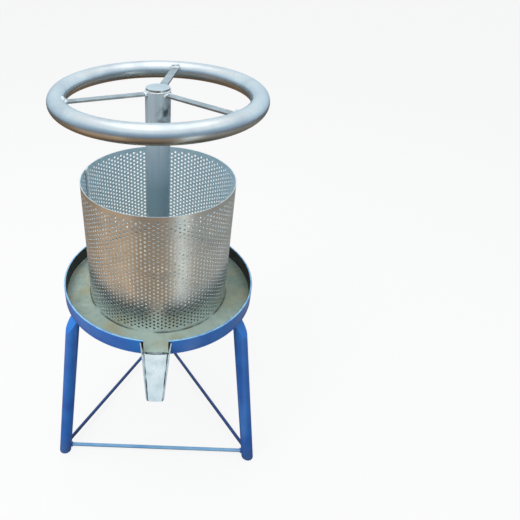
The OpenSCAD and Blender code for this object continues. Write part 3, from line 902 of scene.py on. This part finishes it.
class Skin:
    """One face of the sheet at a radius: its points, shared by key, and its faces as seen from outside."""

    def __init__(self, radius):
        self.radius = radius
        self.points = []
        self.keys = {}

    def point(self, key, half_column, z):
        if key not in self.keys:
            self.keys[key] = len(self.points)
            self.points.append(on_circle(self.radius, half_column * column_step / 2, z))
        return self.keys[key]

    def border(self, half_column, line):
        half_column %= 2 * HOLE_COLUMNS
        return self.point((half_column, line), half_column, line_z(line))

    def lip(self, column, row):
        centre_z = line_z(2 * row + column % 2 + 1)
        reach = OCTAGON_SHARE * HOLE_MM * MM / 2
        across = reach / basket_r / (column_step / 2)
        return [self.point((column, row, corner), 2 * column + 1 + across * math.cos(angle),
                           centre_z + reach * math.sin(angle)) for corner, angle in enumerate(full_turn(8))]

    def cell_faces(self):
        """The four-sided patches round each hole."""
        for column in range(HOLE_COLUMNS):
            for row in range(hole_rows):
                first = 2 * row + column % 2
                rim = [self.border(2 * column + right, first + up) for right, up in BORDER]
                lip = self.lip(column, row)
                yield from ((rim[k - 1], rim[k], lip[k], lip[k - 1]) for k in range(8))

    def margin_faces(self):
        """The plain strips between the outermost holes and the two edges of the sheet."""
        for column in range(HOLE_COLUMNS):
            left, right = 2 * column, 2 * column + 2
            first, last = column % 2, column % 2 + 2 * hole_rows
            low = [(left, -1), (right, -1)] + [(right, k) for k in range(first + 1)]
            low += [(left + 1, first)] + [(left, k) for k in range(first, -1, -1)]
            high = [(left, LAST_LINE + 1)] + [(left, k) for k in range(LAST_LINE, last - 1, -1)]
            high += [(left + 1, last)] + [(right, k) for k in range(last, LAST_LINE + 1)]
            high += [(right, LAST_LINE + 1)]
            yield from (tuple(self.border(*key) for key in outline) for outline in (low, high))

    def faces(self):
        return list(self.cell_faces()) + list(self.margin_faces())


outer, inner = Skin(basket_r), Skin(basket_r - SHEET_MM * MM)
outer_faces, inner_faces = outer.faces(), inner.faces()
print("lattice points:", len(outer.points), "faces:", len(outer_faces))

# %% Basket sheet
shift = len(outer.points)
sheet_faces = outer_faces + [tuple(shift + k for k in reversed(face)) for face in inner_faces]
for column in range(HOLE_COLUMNS):
    for row in range(hole_rows):
        lip = outer.lip(column, row)
        sheet_faces += [(lip[k - 1], lip[k], shift + lip[k], shift + lip[k - 1]) for k in range(8)]
    for line, order in ((-1, 1), (LAST_LINE + 1, -1)):
        a, b = (outer.border(2 * column + side, line) for side in (0, 2))
        sheet_faces.append((a, shift + a, shift + b, b)[::order])
basket_sheet = make_piece("basket_sheet", outer.points + inner.points, sheet_faces, sheet_steel, "basket",
                          "perforated_sheet")
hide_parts("basket")
print("basket faces:", len(sheet_faces))

# %% [markdown]
# ## Spot welds down the seam
# The sheet's ends are lapped and joined by a row of spot welds, each a shallow round button. A button is a
# low dome of a few rings of points, with faces between neighbouring rings, and a loop sets one every few
# centimetres down the strip. Other pieces below are made of rings too, or of several shapes in one mesh, so
# these two steps are functions.

# %% Rings and shapes
UP = Vector((0, 0, 1))


def band_faces(rings, sides, closed=False):
    """Four-sided faces between neighbouring rings of points, and from the last to the first if closed."""
    faces = []
    for ring in range(rings if closed else rings - 1):
        here, there = ring * sides, (ring + 1) % rings * sides
        for k in range(sides):
            after = (k + 1) % sides
            faces.append((here + k, here + after, there + after, there + k))
    return faces


def together(shapes):
    """Several shapes, each with its points and faces, as one."""
    points, faces = [], []
    for new_points, new_faces in shapes:
        faces += [tuple(len(points) + k for k in face) for face in new_faces]
        points += new_points
    return points, faces


def mesh_points(node):
    """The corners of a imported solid, as rows of numbers."""
    return np.array([v.co for v in nodes[node].data.vertices])


print("the lap has", len(mesh_points("basket_seam")), "corners")

# %% Seam spots
SPOT_MM = 6
SPOT_HEIGHT_MM = 0.5
SPOT_COUNT = 9
SPOT_RINGS = 4
SPOT_SIDES = 16

seam_points = mesh_points("basket_seam")
seam_turn = math.atan2(seam_points[:, 1].mean(), seam_points[:, 0].mean())
seam_r = np.hypot(seam_points[:, 0], seam_points[:, 1]).min()


def dome(centre, out, radius, height):
    """A low round button that stands on a face: its points and faces."""
    side = out.cross(UP).normalized()
    up = side.cross(out)
    points = []
    for ring in range(SPOT_RINGS):
        tilt = math.pi / 2 * ring / SPOT_RINGS
        for turn in full_turn(SPOT_SIDES):
            flat = side * math.cos(turn) + up * math.sin(turn)
            points.append(centre + flat * radius * math.cos(tilt) + out * height * math.sin(tilt))
    top = tuple(range((SPOT_RINGS - 1) * SPOT_SIDES, SPOT_RINGS * SPOT_SIDES))
    return points, band_faces(SPOT_RINGS, SPOT_SIDES) + [top]


spot_heights = [basket_low.z + basket_h * (k + 0.5) / SPOT_COUNT for k in range(SPOT_COUNT)]
inward = -on_circle(1, seam_turn, 0)
spots = [dome(on_circle(seam_r, seam_turn, z), inward, SPOT_MM * MM / 2, SPOT_HEIGHT_MM * MM)
         for z in spot_heights]
make_piece("seam_spots", *together(spots), clean_weld, "basket", "perforated_sheet")
print("spot welds:", SPOT_COUNT, "at", round(math.degrees(seam_turn)), "degrees")

# %% [markdown]
# ## The screw's thread
# The screw has a trapezoidal thread, 30 mm across with a pitch of 6 mm. It hides in the pipe while the
# plate is down and shows when the wheel has been wound up. A screw modifier could sweep it, but the ridge
# is easy to write down: four points of the ridge's outline go round a core, and climb one pitch in each
# turn.

# %% Screw thread
PITCH_MM = 6
THREAD_DEPTH_MM = 3.5
RIDGE_SINK_MM = 0.1
STEPS_A_TURN = 36
RIDGE_SHARES = ((0.0, 0), (0.134, 1), (0.5, 1), (0.634, 0))
CORE_SIDES = 48

root_r = screw_r - THREAD_DEPTH_MM * MM
turns = (screw_high.z - screw_low.z) / (PITCH_MM * MM) - 1
ridge_points, ridge_faces = [], []
for step in range(int(turns * STEPS_A_TURN) + 1):
    turn = 2 * math.pi * step / STEPS_A_TURN
    foot = screw_low.z + PITCH_MM * MM * step / STEPS_A_TURN
    for share, crest in RIDGE_SHARES:
        radius = screw_r if crest else root_r - RIDGE_SINK_MM * MM
        ridge_points.append(on_circle(radius, turn, foot + share * PITCH_MM * MM))
    if step:
        here = 4 * step
        ridge_faces += [(here + k - 4, here + k, here + k + 1, here + k - 3) for k in range(3)]
last = len(ridge_points) - 4
ridge_faces += [(0, 1, 2, 3), (last + 3, last + 2, last + 1, last)]
core_points = [on_circle(root_r, turn, z)
               for z in (screw_low.z, screw_high.z) for turn in full_turn(CORE_SIDES)]
core_faces = band_faces(2, CORE_SIDES)
core_faces += [tuple(reversed(range(CORE_SIDES))), tuple(range(CORE_SIDES, 2 * CORE_SIDES))]
screw_thread = make_piece("screw_thread", *together([(ridge_points, ridge_faces), (core_points, core_faces)]),
                          screw_steel, "stand", "screw_steel")
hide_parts("screw")
print("thread turns:", round(turns, 1))

# %% [markdown]
# ## Nuts with chamfered corners
# A real nut's corners are turned off at both ends, which leaves a round face and six curved edges. That
# shape is a hexagon cut by a cone, so at each angle the wall stops where the hexagon's own radius meets the
# cone. Six rings of points follow from that rule, two of them round the bore.

# %% Nuts
CHAMFER_FACE_SHARE = 0.95
CHAMFER_DEG = 30
NUT_SIDES = 72
NUT_BORE_MM = 30.2


def hexagon_radius(turn, half_flats):
    """How far a hexagon's wall is from its axis, with a corner at turn 0."""
    return half_flats / math.cos(turn % (math.pi / 3) - math.pi / 6)


def chamfered_nut(node):
    """A nut in the place of its plain solid."""
    low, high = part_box(node)
    corner = max((v.co for v in nodes[node].data.vertices), key=lambda co: math.hypot(co.x, co.y))
    half_flats = math.hypot(corner.x, corner.y) * math.cos(math.pi / 6)
    first_turn = math.atan2(corner.y, corner.x)
    face_r = CHAMFER_FACE_SHARE * half_flats
    bore_r = NUT_BORE_MM * MM / 2
    outlines = []
    for turn in full_turn(NUT_SIDES):
        radius = hexagon_radius(turn, half_flats)
        drop = (radius - face_r) * math.tan(math.radians(CHAMFER_DEG))
        outline = ((bore_r, low.z), (face_r, low.z), (radius, low.z + drop), (radius, high.z - drop),
                   (face_r, high.z), (bore_r, high.z))
        outlines.append([on_circle(r, first_turn + turn, z) for r, z in outline])
    rings = list(zip(*outlines))
    points = [point for ring in rings for point in ring]
    faces = band_faces(len(rings), NUT_SIDES, closed=True)
    piece = make_piece(node + "_chamfered", points, faces, zinc, "stand", "fastener")
    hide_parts(node)


for nut in ("floor_nut", "lock_nut", "hub_nut"):
    chamfered_nut(nut)
print("nuts: 3, bore", NUT_BORE_MM, "mm")

# %% [markdown]
# ## The rim with eased edges
# The rim is a flat bar on edge, rolled to a ring and cut out at the front for the chute. Its edges were
# eased with a file before painting, and they catch a pale line of light all the way round. The bar's
# outline, a rectangle with round corners, is swept round the tray. Each point of the outline starts and
# stops where it meets the flat side of the notch, so that the cut ends are flat as well.

# %% Rim bar
EASE_MM = 1.1
EASE_STEPS = 4
RIM_STEPS = 160


def eased_outline(inner_r, outer_r, low_z, high_z, ease):
    """The bar's outline as (radius, height) points, with round corners, counter-clockwise."""
    middles = ((outer_r - ease, high_z - ease, 0), (inner_r + ease, high_z - ease, 90),
               (inner_r + ease, low_z + ease, 180), (outer_r - ease, low_z + ease, 270))
    outline = []
    for r, z, start in middles:
        for k in range(EASE_STEPS + 1):
            turn = math.radians(start + 90 * k / EASE_STEPS)
            outline.append((r + ease * math.cos(turn), z + ease * math.sin(turn)))
    return outline


def round_the_tray(radius, share):
    """The turn at a share of the way round, from one side of the notch to the other, at a radius."""
    gap = math.asin(NOTCH_MM * MM / 2 / radius)
    return SPOUT_TURN - math.pi / 2 + gap + (2 * math.pi - 2 * gap) * share


outline = eased_outline(rim_r - RIM_BAR, rim_r, rim_low.z, rim_high.z, EASE_MM * MM)
sides = len(outline)
rim_points = [on_circle(r, round_the_tray(r, step / RIM_STEPS), z)
              for step in range(RIM_STEPS + 1) for r, z in outline]
rim_faces = [face[::-1] for face in band_faces(RIM_STEPS + 1, sides)]
rim_faces += [tuple(range(sides)), tuple(RIM_STEPS * sides + k for k in reversed(range(sides)))]
rim_bar = make_piece("rim_bar", rim_points, rim_faces, rim_paint, "stand", "rim_bar")
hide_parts("tray_rim")
print("rim:", round(2 * rim_r / MM), "mm across, edges eased by", EASE_MM, "mm")

# %% [markdown]
# ## Weld beads
# The press was welded by hand, and its beads show as lumpy collars where a bar meets a pipe. A bead is a
# round string that swells and shrinks a little with each dab of the rod. One function lays such a string
# along any path, open or closed. The dabs are drawn a bit longer than real ones, so that they show in the
# picture.

# %% Bead helpers
DAB_MM = 3.5
DAB_SWELL = 0.16
UNEVEN_LOW, UNEVEN_HIGH, UNEVEN_PULL = 0.82, 1.18, 0.5
TIP_SHARE, TIP_GROWTH = 0.35, 0.2
BEAD_SIDES = 10
BEAD_STEP_MM = 0.9
COLLAR_LEAST, LINE_LEAST = 20, 4
rng = random.Random(11)


def lay_bead(path, radius, closed):
    """A lumpy string of weld along a path: its points and faces."""
    points = []
    count = len(path)
    swell, run = 1.0, 0.0
    for k, here in enumerate(path):
        before = path[k - 1] if closed or k else here
        after = path[(k + 1) % count] if closed or k + 1 < count else here
        along = (after - before).normalized()
        side = along.orthogonal().normalized()
        up = along.cross(side)
        run += (here - before).length
        swell += UNEVEN_PULL * (rng.uniform(UNEVEN_LOW, UNEVEN_HIGH) - swell)
        dab = 1 + DAB_SWELL * math.cos(2 * math.pi * run / (DAB_MM * MM))
        taper = 1 if closed else min(1, TIP_SHARE + TIP_GROWTH * min(k, count - 1 - k))
        points += [here + (side * math.cos(turn) + up * math.sin(turn)) * radius * swell * dab * taper
                   for turn in full_turn(BEAD_SIDES)]
    faces = band_faces(count, BEAD_SIDES, closed)
    if not closed:
        faces.append(tuple(reversed(range(BEAD_SIDES))))
        faces.append(tuple((count - 1) * BEAD_SIDES + k for k in range(BEAD_SIDES)))
    return points, faces


def lay_beads(name, strings, mat, body, slot):
    """Several strings of weld as one piece, each with its path, its radius in mm and whether it is closed."""
    shapes = [lay_bead(path, radius_mm * MM, closed) for path, radius_mm, closed in strings]
    make_piece(name, *together(shapes), mat, body, slot)
    print(name + ":", len(strings))


def collar_path(centre, axis, radius, height=None):
    """Points on a circle round an axis, or on an oval of another height."""
    axis = axis.normalized()
    height = height or radius
    side = UP.cross(axis)
    side = side.normalized() if side.length > 0.01 else Vector((1, 0, 0))
    up = axis.cross(side)
    count = max(COLLAR_LEAST, int(2 * math.pi * radius / (BEAD_STEP_MM * MM)))
    return [centre + side * radius * math.cos(t) + up * height * math.sin(t) for t in full_turn(count)]


def straight_path(start, end):
    """Points on a straight line."""
    count = max(LINE_LEAST, int((end - start).length / (BEAD_STEP_MM * MM)))
    return [start.lerp(end, k / count) for k in range(count + 1)]


def arc_path(radius, turn, half_mm, z):
    """Points on an arc about the screw's axis, this far to either side of a turn."""
    half = math.asin(half_mm * MM / radius)
    count = int(2 * half_mm / BEAD_STEP_MM)
    return [on_circle(radius, turn + half * (2 * k / count - 1), z) for k in range(count + 1)]


def bar_ends(node):
    """The ends of a straight bar, first the one nearer the screw's axis, and half its width and height."""
    co = mesh_points(node)
    middle = (co.min(0) + co.max(0)) / 2
    along = np.linalg.svd(co - middle, full_matrices=False)[2][0]
    reach = (co - middle) @ along
    across = np.cross(along, (0, 0, 1))
    off = np.abs((co - middle) @ np.array((across / np.linalg.norm(across), (0, 0, 1))).T).max(0)
    ends = [Vector(middle + along * r) for r in (reach.min(), reach.max())]
    ends.sort(key=lambda p: math.hypot(p.x, p.y))
    return ends[0], ends[1], float(off[0]), float(off[1])


print("spoke, width and thickness:", [round(2 * half / MM, 1) for half in bar_ends("spoke_1")[2:]], "mm")

# %% [markdown]
# ## Beads on the wheel
# Each spoke is welded to the ring and to the pipe, with two more runs over the ring's shoulder, and the
# disc that closes the pipe is welded round its edge. These are the beads that the photograph shows best.

# %% Wheel beads
SPOKE_BEAD_MM = 2.2
SPOKE_INSET_MM = 1.5
CROWN_BEAD_MM = 2.4
CROWN_BEADS = ((30, 11), (45, 8))
CAP_BEAD_MM = 1.4
CAP_LIFT_MM = 0.3

pipe_r = (ring_high.z - ring_low.z) / 2
middle_r = (ring_high.x - ring_low.x) / 2 - pipe_r
wheel_strings = []
for node in ("spoke_1", "spoke_2", "spoke_3"):
    near, far, half_w, half_t = bar_ends(node)
    for end, inward in ((near, 1), (far, -1)):
        along = (far - near).normalized() * inward
        centre = end + along * SPOKE_INSET_MM * MM
        wheel_strings.append((collar_path(centre, along, half_w, half_t), SPOKE_BEAD_MM, True))
    for tilt_deg, half_mm in CROWN_BEADS:
        tilt = math.radians(tilt_deg)
        path = arc_path(middle_r - pipe_r * math.cos(tilt), math.atan2(far.y, far.x), half_mm,
                        ring_low.z + pipe_r + pipe_r * math.sin(tilt))
        wheel_strings.append((path, CROWN_BEAD_MM, False))
cap_low, cap_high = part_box("sleeve_cap")
cap_foot = UP * (cap_low.z + CAP_LIFT_MM * MM)
wheel_strings.append((collar_path(cap_foot, UP, (cap_high.x - cap_low.x) / 2), CAP_BEAD_MM, True))
lay_beads("wheel_beads", wheel_strings, clean_weld, "handwheel", "wheel_pipe")

# %% [markdown]
# ## The bead down the basket's lap
# A thin run of weld closes the lap's edge from top to bottom, on the side nearer the spout. Its shaded side
# shows inside the basket as a dark line, beside the lap's strip, which is painted pale as a painted
# highlight.

# %% Lap bead
LAP_BEAD_MM = 1.7

lap_turn = np.arctan2(seam_points[:, 1], seam_points[:, 0]).max()
lap_path = straight_path(*(on_circle(seam_r, lap_turn, z) for z in (basket_low.z, basket_high.z)))
lay_beads("lap_bead", [(lap_path, LAP_BEAD_MM, False)], clean_weld, "basket", "perforated_sheet")

# %% [markdown]
# ## Beads on the stand
# The rods are welded to the legs, and the flat arms to the boss, to the legs and, with short stitches, to
# the underside of the tray. All of these were painted over, so they take the enamel.

# %% Stand beads
ROD_BEAD_MM = 1.9
ROD_INSET_MM = 2.2
ROD_ROOM_MM = 0.2
ARM_BEAD_MM = 2.2
ARM_TOP_MM = 2
STITCH_DROP_MM = 0.9
STITCH_SHARES = ((0.08, 0.24), (0.42, 0.58), (0.76, 0.92))

stand_strings = []
for node in ("stretcher_front", "stretcher_right", "stretcher_left"):
    near, far, bar_r, _ = bar_ends(node)
    for end, other in ((near, far), (far, near)):
        along = (other - end).normalized()
        centre = end + along * ROD_INSET_MM * MM
        stand_strings.append((collar_path(centre, along, bar_r + ROD_ROOM_MM * MM), ROD_BEAD_MM, True))
hub_low, hub_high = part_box("screw_hub")
hub_r = (hub_high.x - hub_low.x) / 2
for node in ("arm_left", "arm_right", "arm_back"):
    co = mesh_points(node)
    turn = math.atan2(co[:, 1].mean(), co[:, 0].mean())
    out, across = on_circle(1, turn, 0), on_circle(1, turn + math.pi / 2, 0)
    reach = co @ np.array(out)
    side = float(np.abs(co @ np.array(across)).max())
    low_z, high_z = float(co[:, 2].min()), float(co[:, 2].max())
    low_end, high_end = (float(reach[np.abs(co[:, 2] - z) < MM].max()) for z in (low_z, high_z))
    stitch_z = high_z - STITCH_DROP_MM * MM
    for face in (across * -side, across * side):
        for low_r, high_r in ((hub_r, hub_r), (low_end, high_end)):
            path = straight_path(out * low_r + face + UP * low_z,
                                 out * high_r + face + UP * (high_z - ARM_TOP_MM * MM))
            stand_strings.append((path, ARM_BEAD_MM, False))
        for shares in STITCH_SHARES:
            start, end = (out * (hub_r + share * (high_end - hub_r)) + face + UP * stitch_z
                          for share in shares)
            stand_strings.append((straight_path(start, end), ARM_BEAD_MM, False))
lay_beads("stand_beads", stand_strings, enamel, "stand", "frame_pipe")

# %% [markdown]
# ## Sealing the tray
# Juice must not leak between the floor and the rim, so a thin bead of weld runs all round inside the
# corner. Where the chute joins the floor's edge the bead was laid from above and left burnt and ragged. Two
# short beads hold the chute's cheeks to the outside of the rim. Their places come from the chute's own back
# edge.

# %% Tray beads
CORNER_BEAD_MM = 1.3
CORNER_INSET_MM = 0.3
SEAM_BEAD_MM = 2.1
SEAM_HALF_MM = 20
SEAM_DROP_MM = 0.5
CHEEK_BEAD_MM = 1.3
BACK_EDGE_MM = 0.5

corner_r = rim_r - RIM_BAR - CORNER_INSET_MM * MM
corner_steps = int(2 * math.pi * corner_r / (2 * BEAD_STEP_MM * MM))
corner_z = plate_high.z + CORNER_INSET_MM * MM
corner_path = [on_circle(corner_r, round_the_tray(corner_r, k / corner_steps), corner_z)
               for k in range(corner_steps + 1)]
lay_beads("tray_bead", [(corner_path, CORNER_BEAD_MM, False)], tray_steel, "stand", "tray_steel")

joint_path = arc_path(rim_r, SPOUT_TURN - math.pi / 2, SEAM_HALF_MM, plate_high.z - SEAM_DROP_MM * MM)
lay_beads("chute_bead", [(joint_path, SEAM_BEAD_MM, False)], burnt_weld, "stand", "chute_sheet")

beside_spout = Vector((math.cos(SPOUT_TURN), math.sin(SPOUT_TURN), 0))
back_edge = [v.co for v in nodes["spout_chute"].data.vertices
             if math.hypot(v.co.x, v.co.y) < rim_r + BACK_EDGE_MM * MM and v.co.z > plate_high.z]
cheek_strings = []
for hand in (-1, 1):
    top = max(back_edge, key=lambda co: hand * co.dot(beside_spout) + co.z)
    foot = min(back_edge, key=lambda co: co.z - hand * co.dot(beside_spout))
    cheek_strings.append((straight_path(Vector(foot), Vector(top)), CHEEK_BEAD_MM, False))
lay_beads("cheek_beads", cheek_strings, clean_weld, "stand", "chute_sheet")
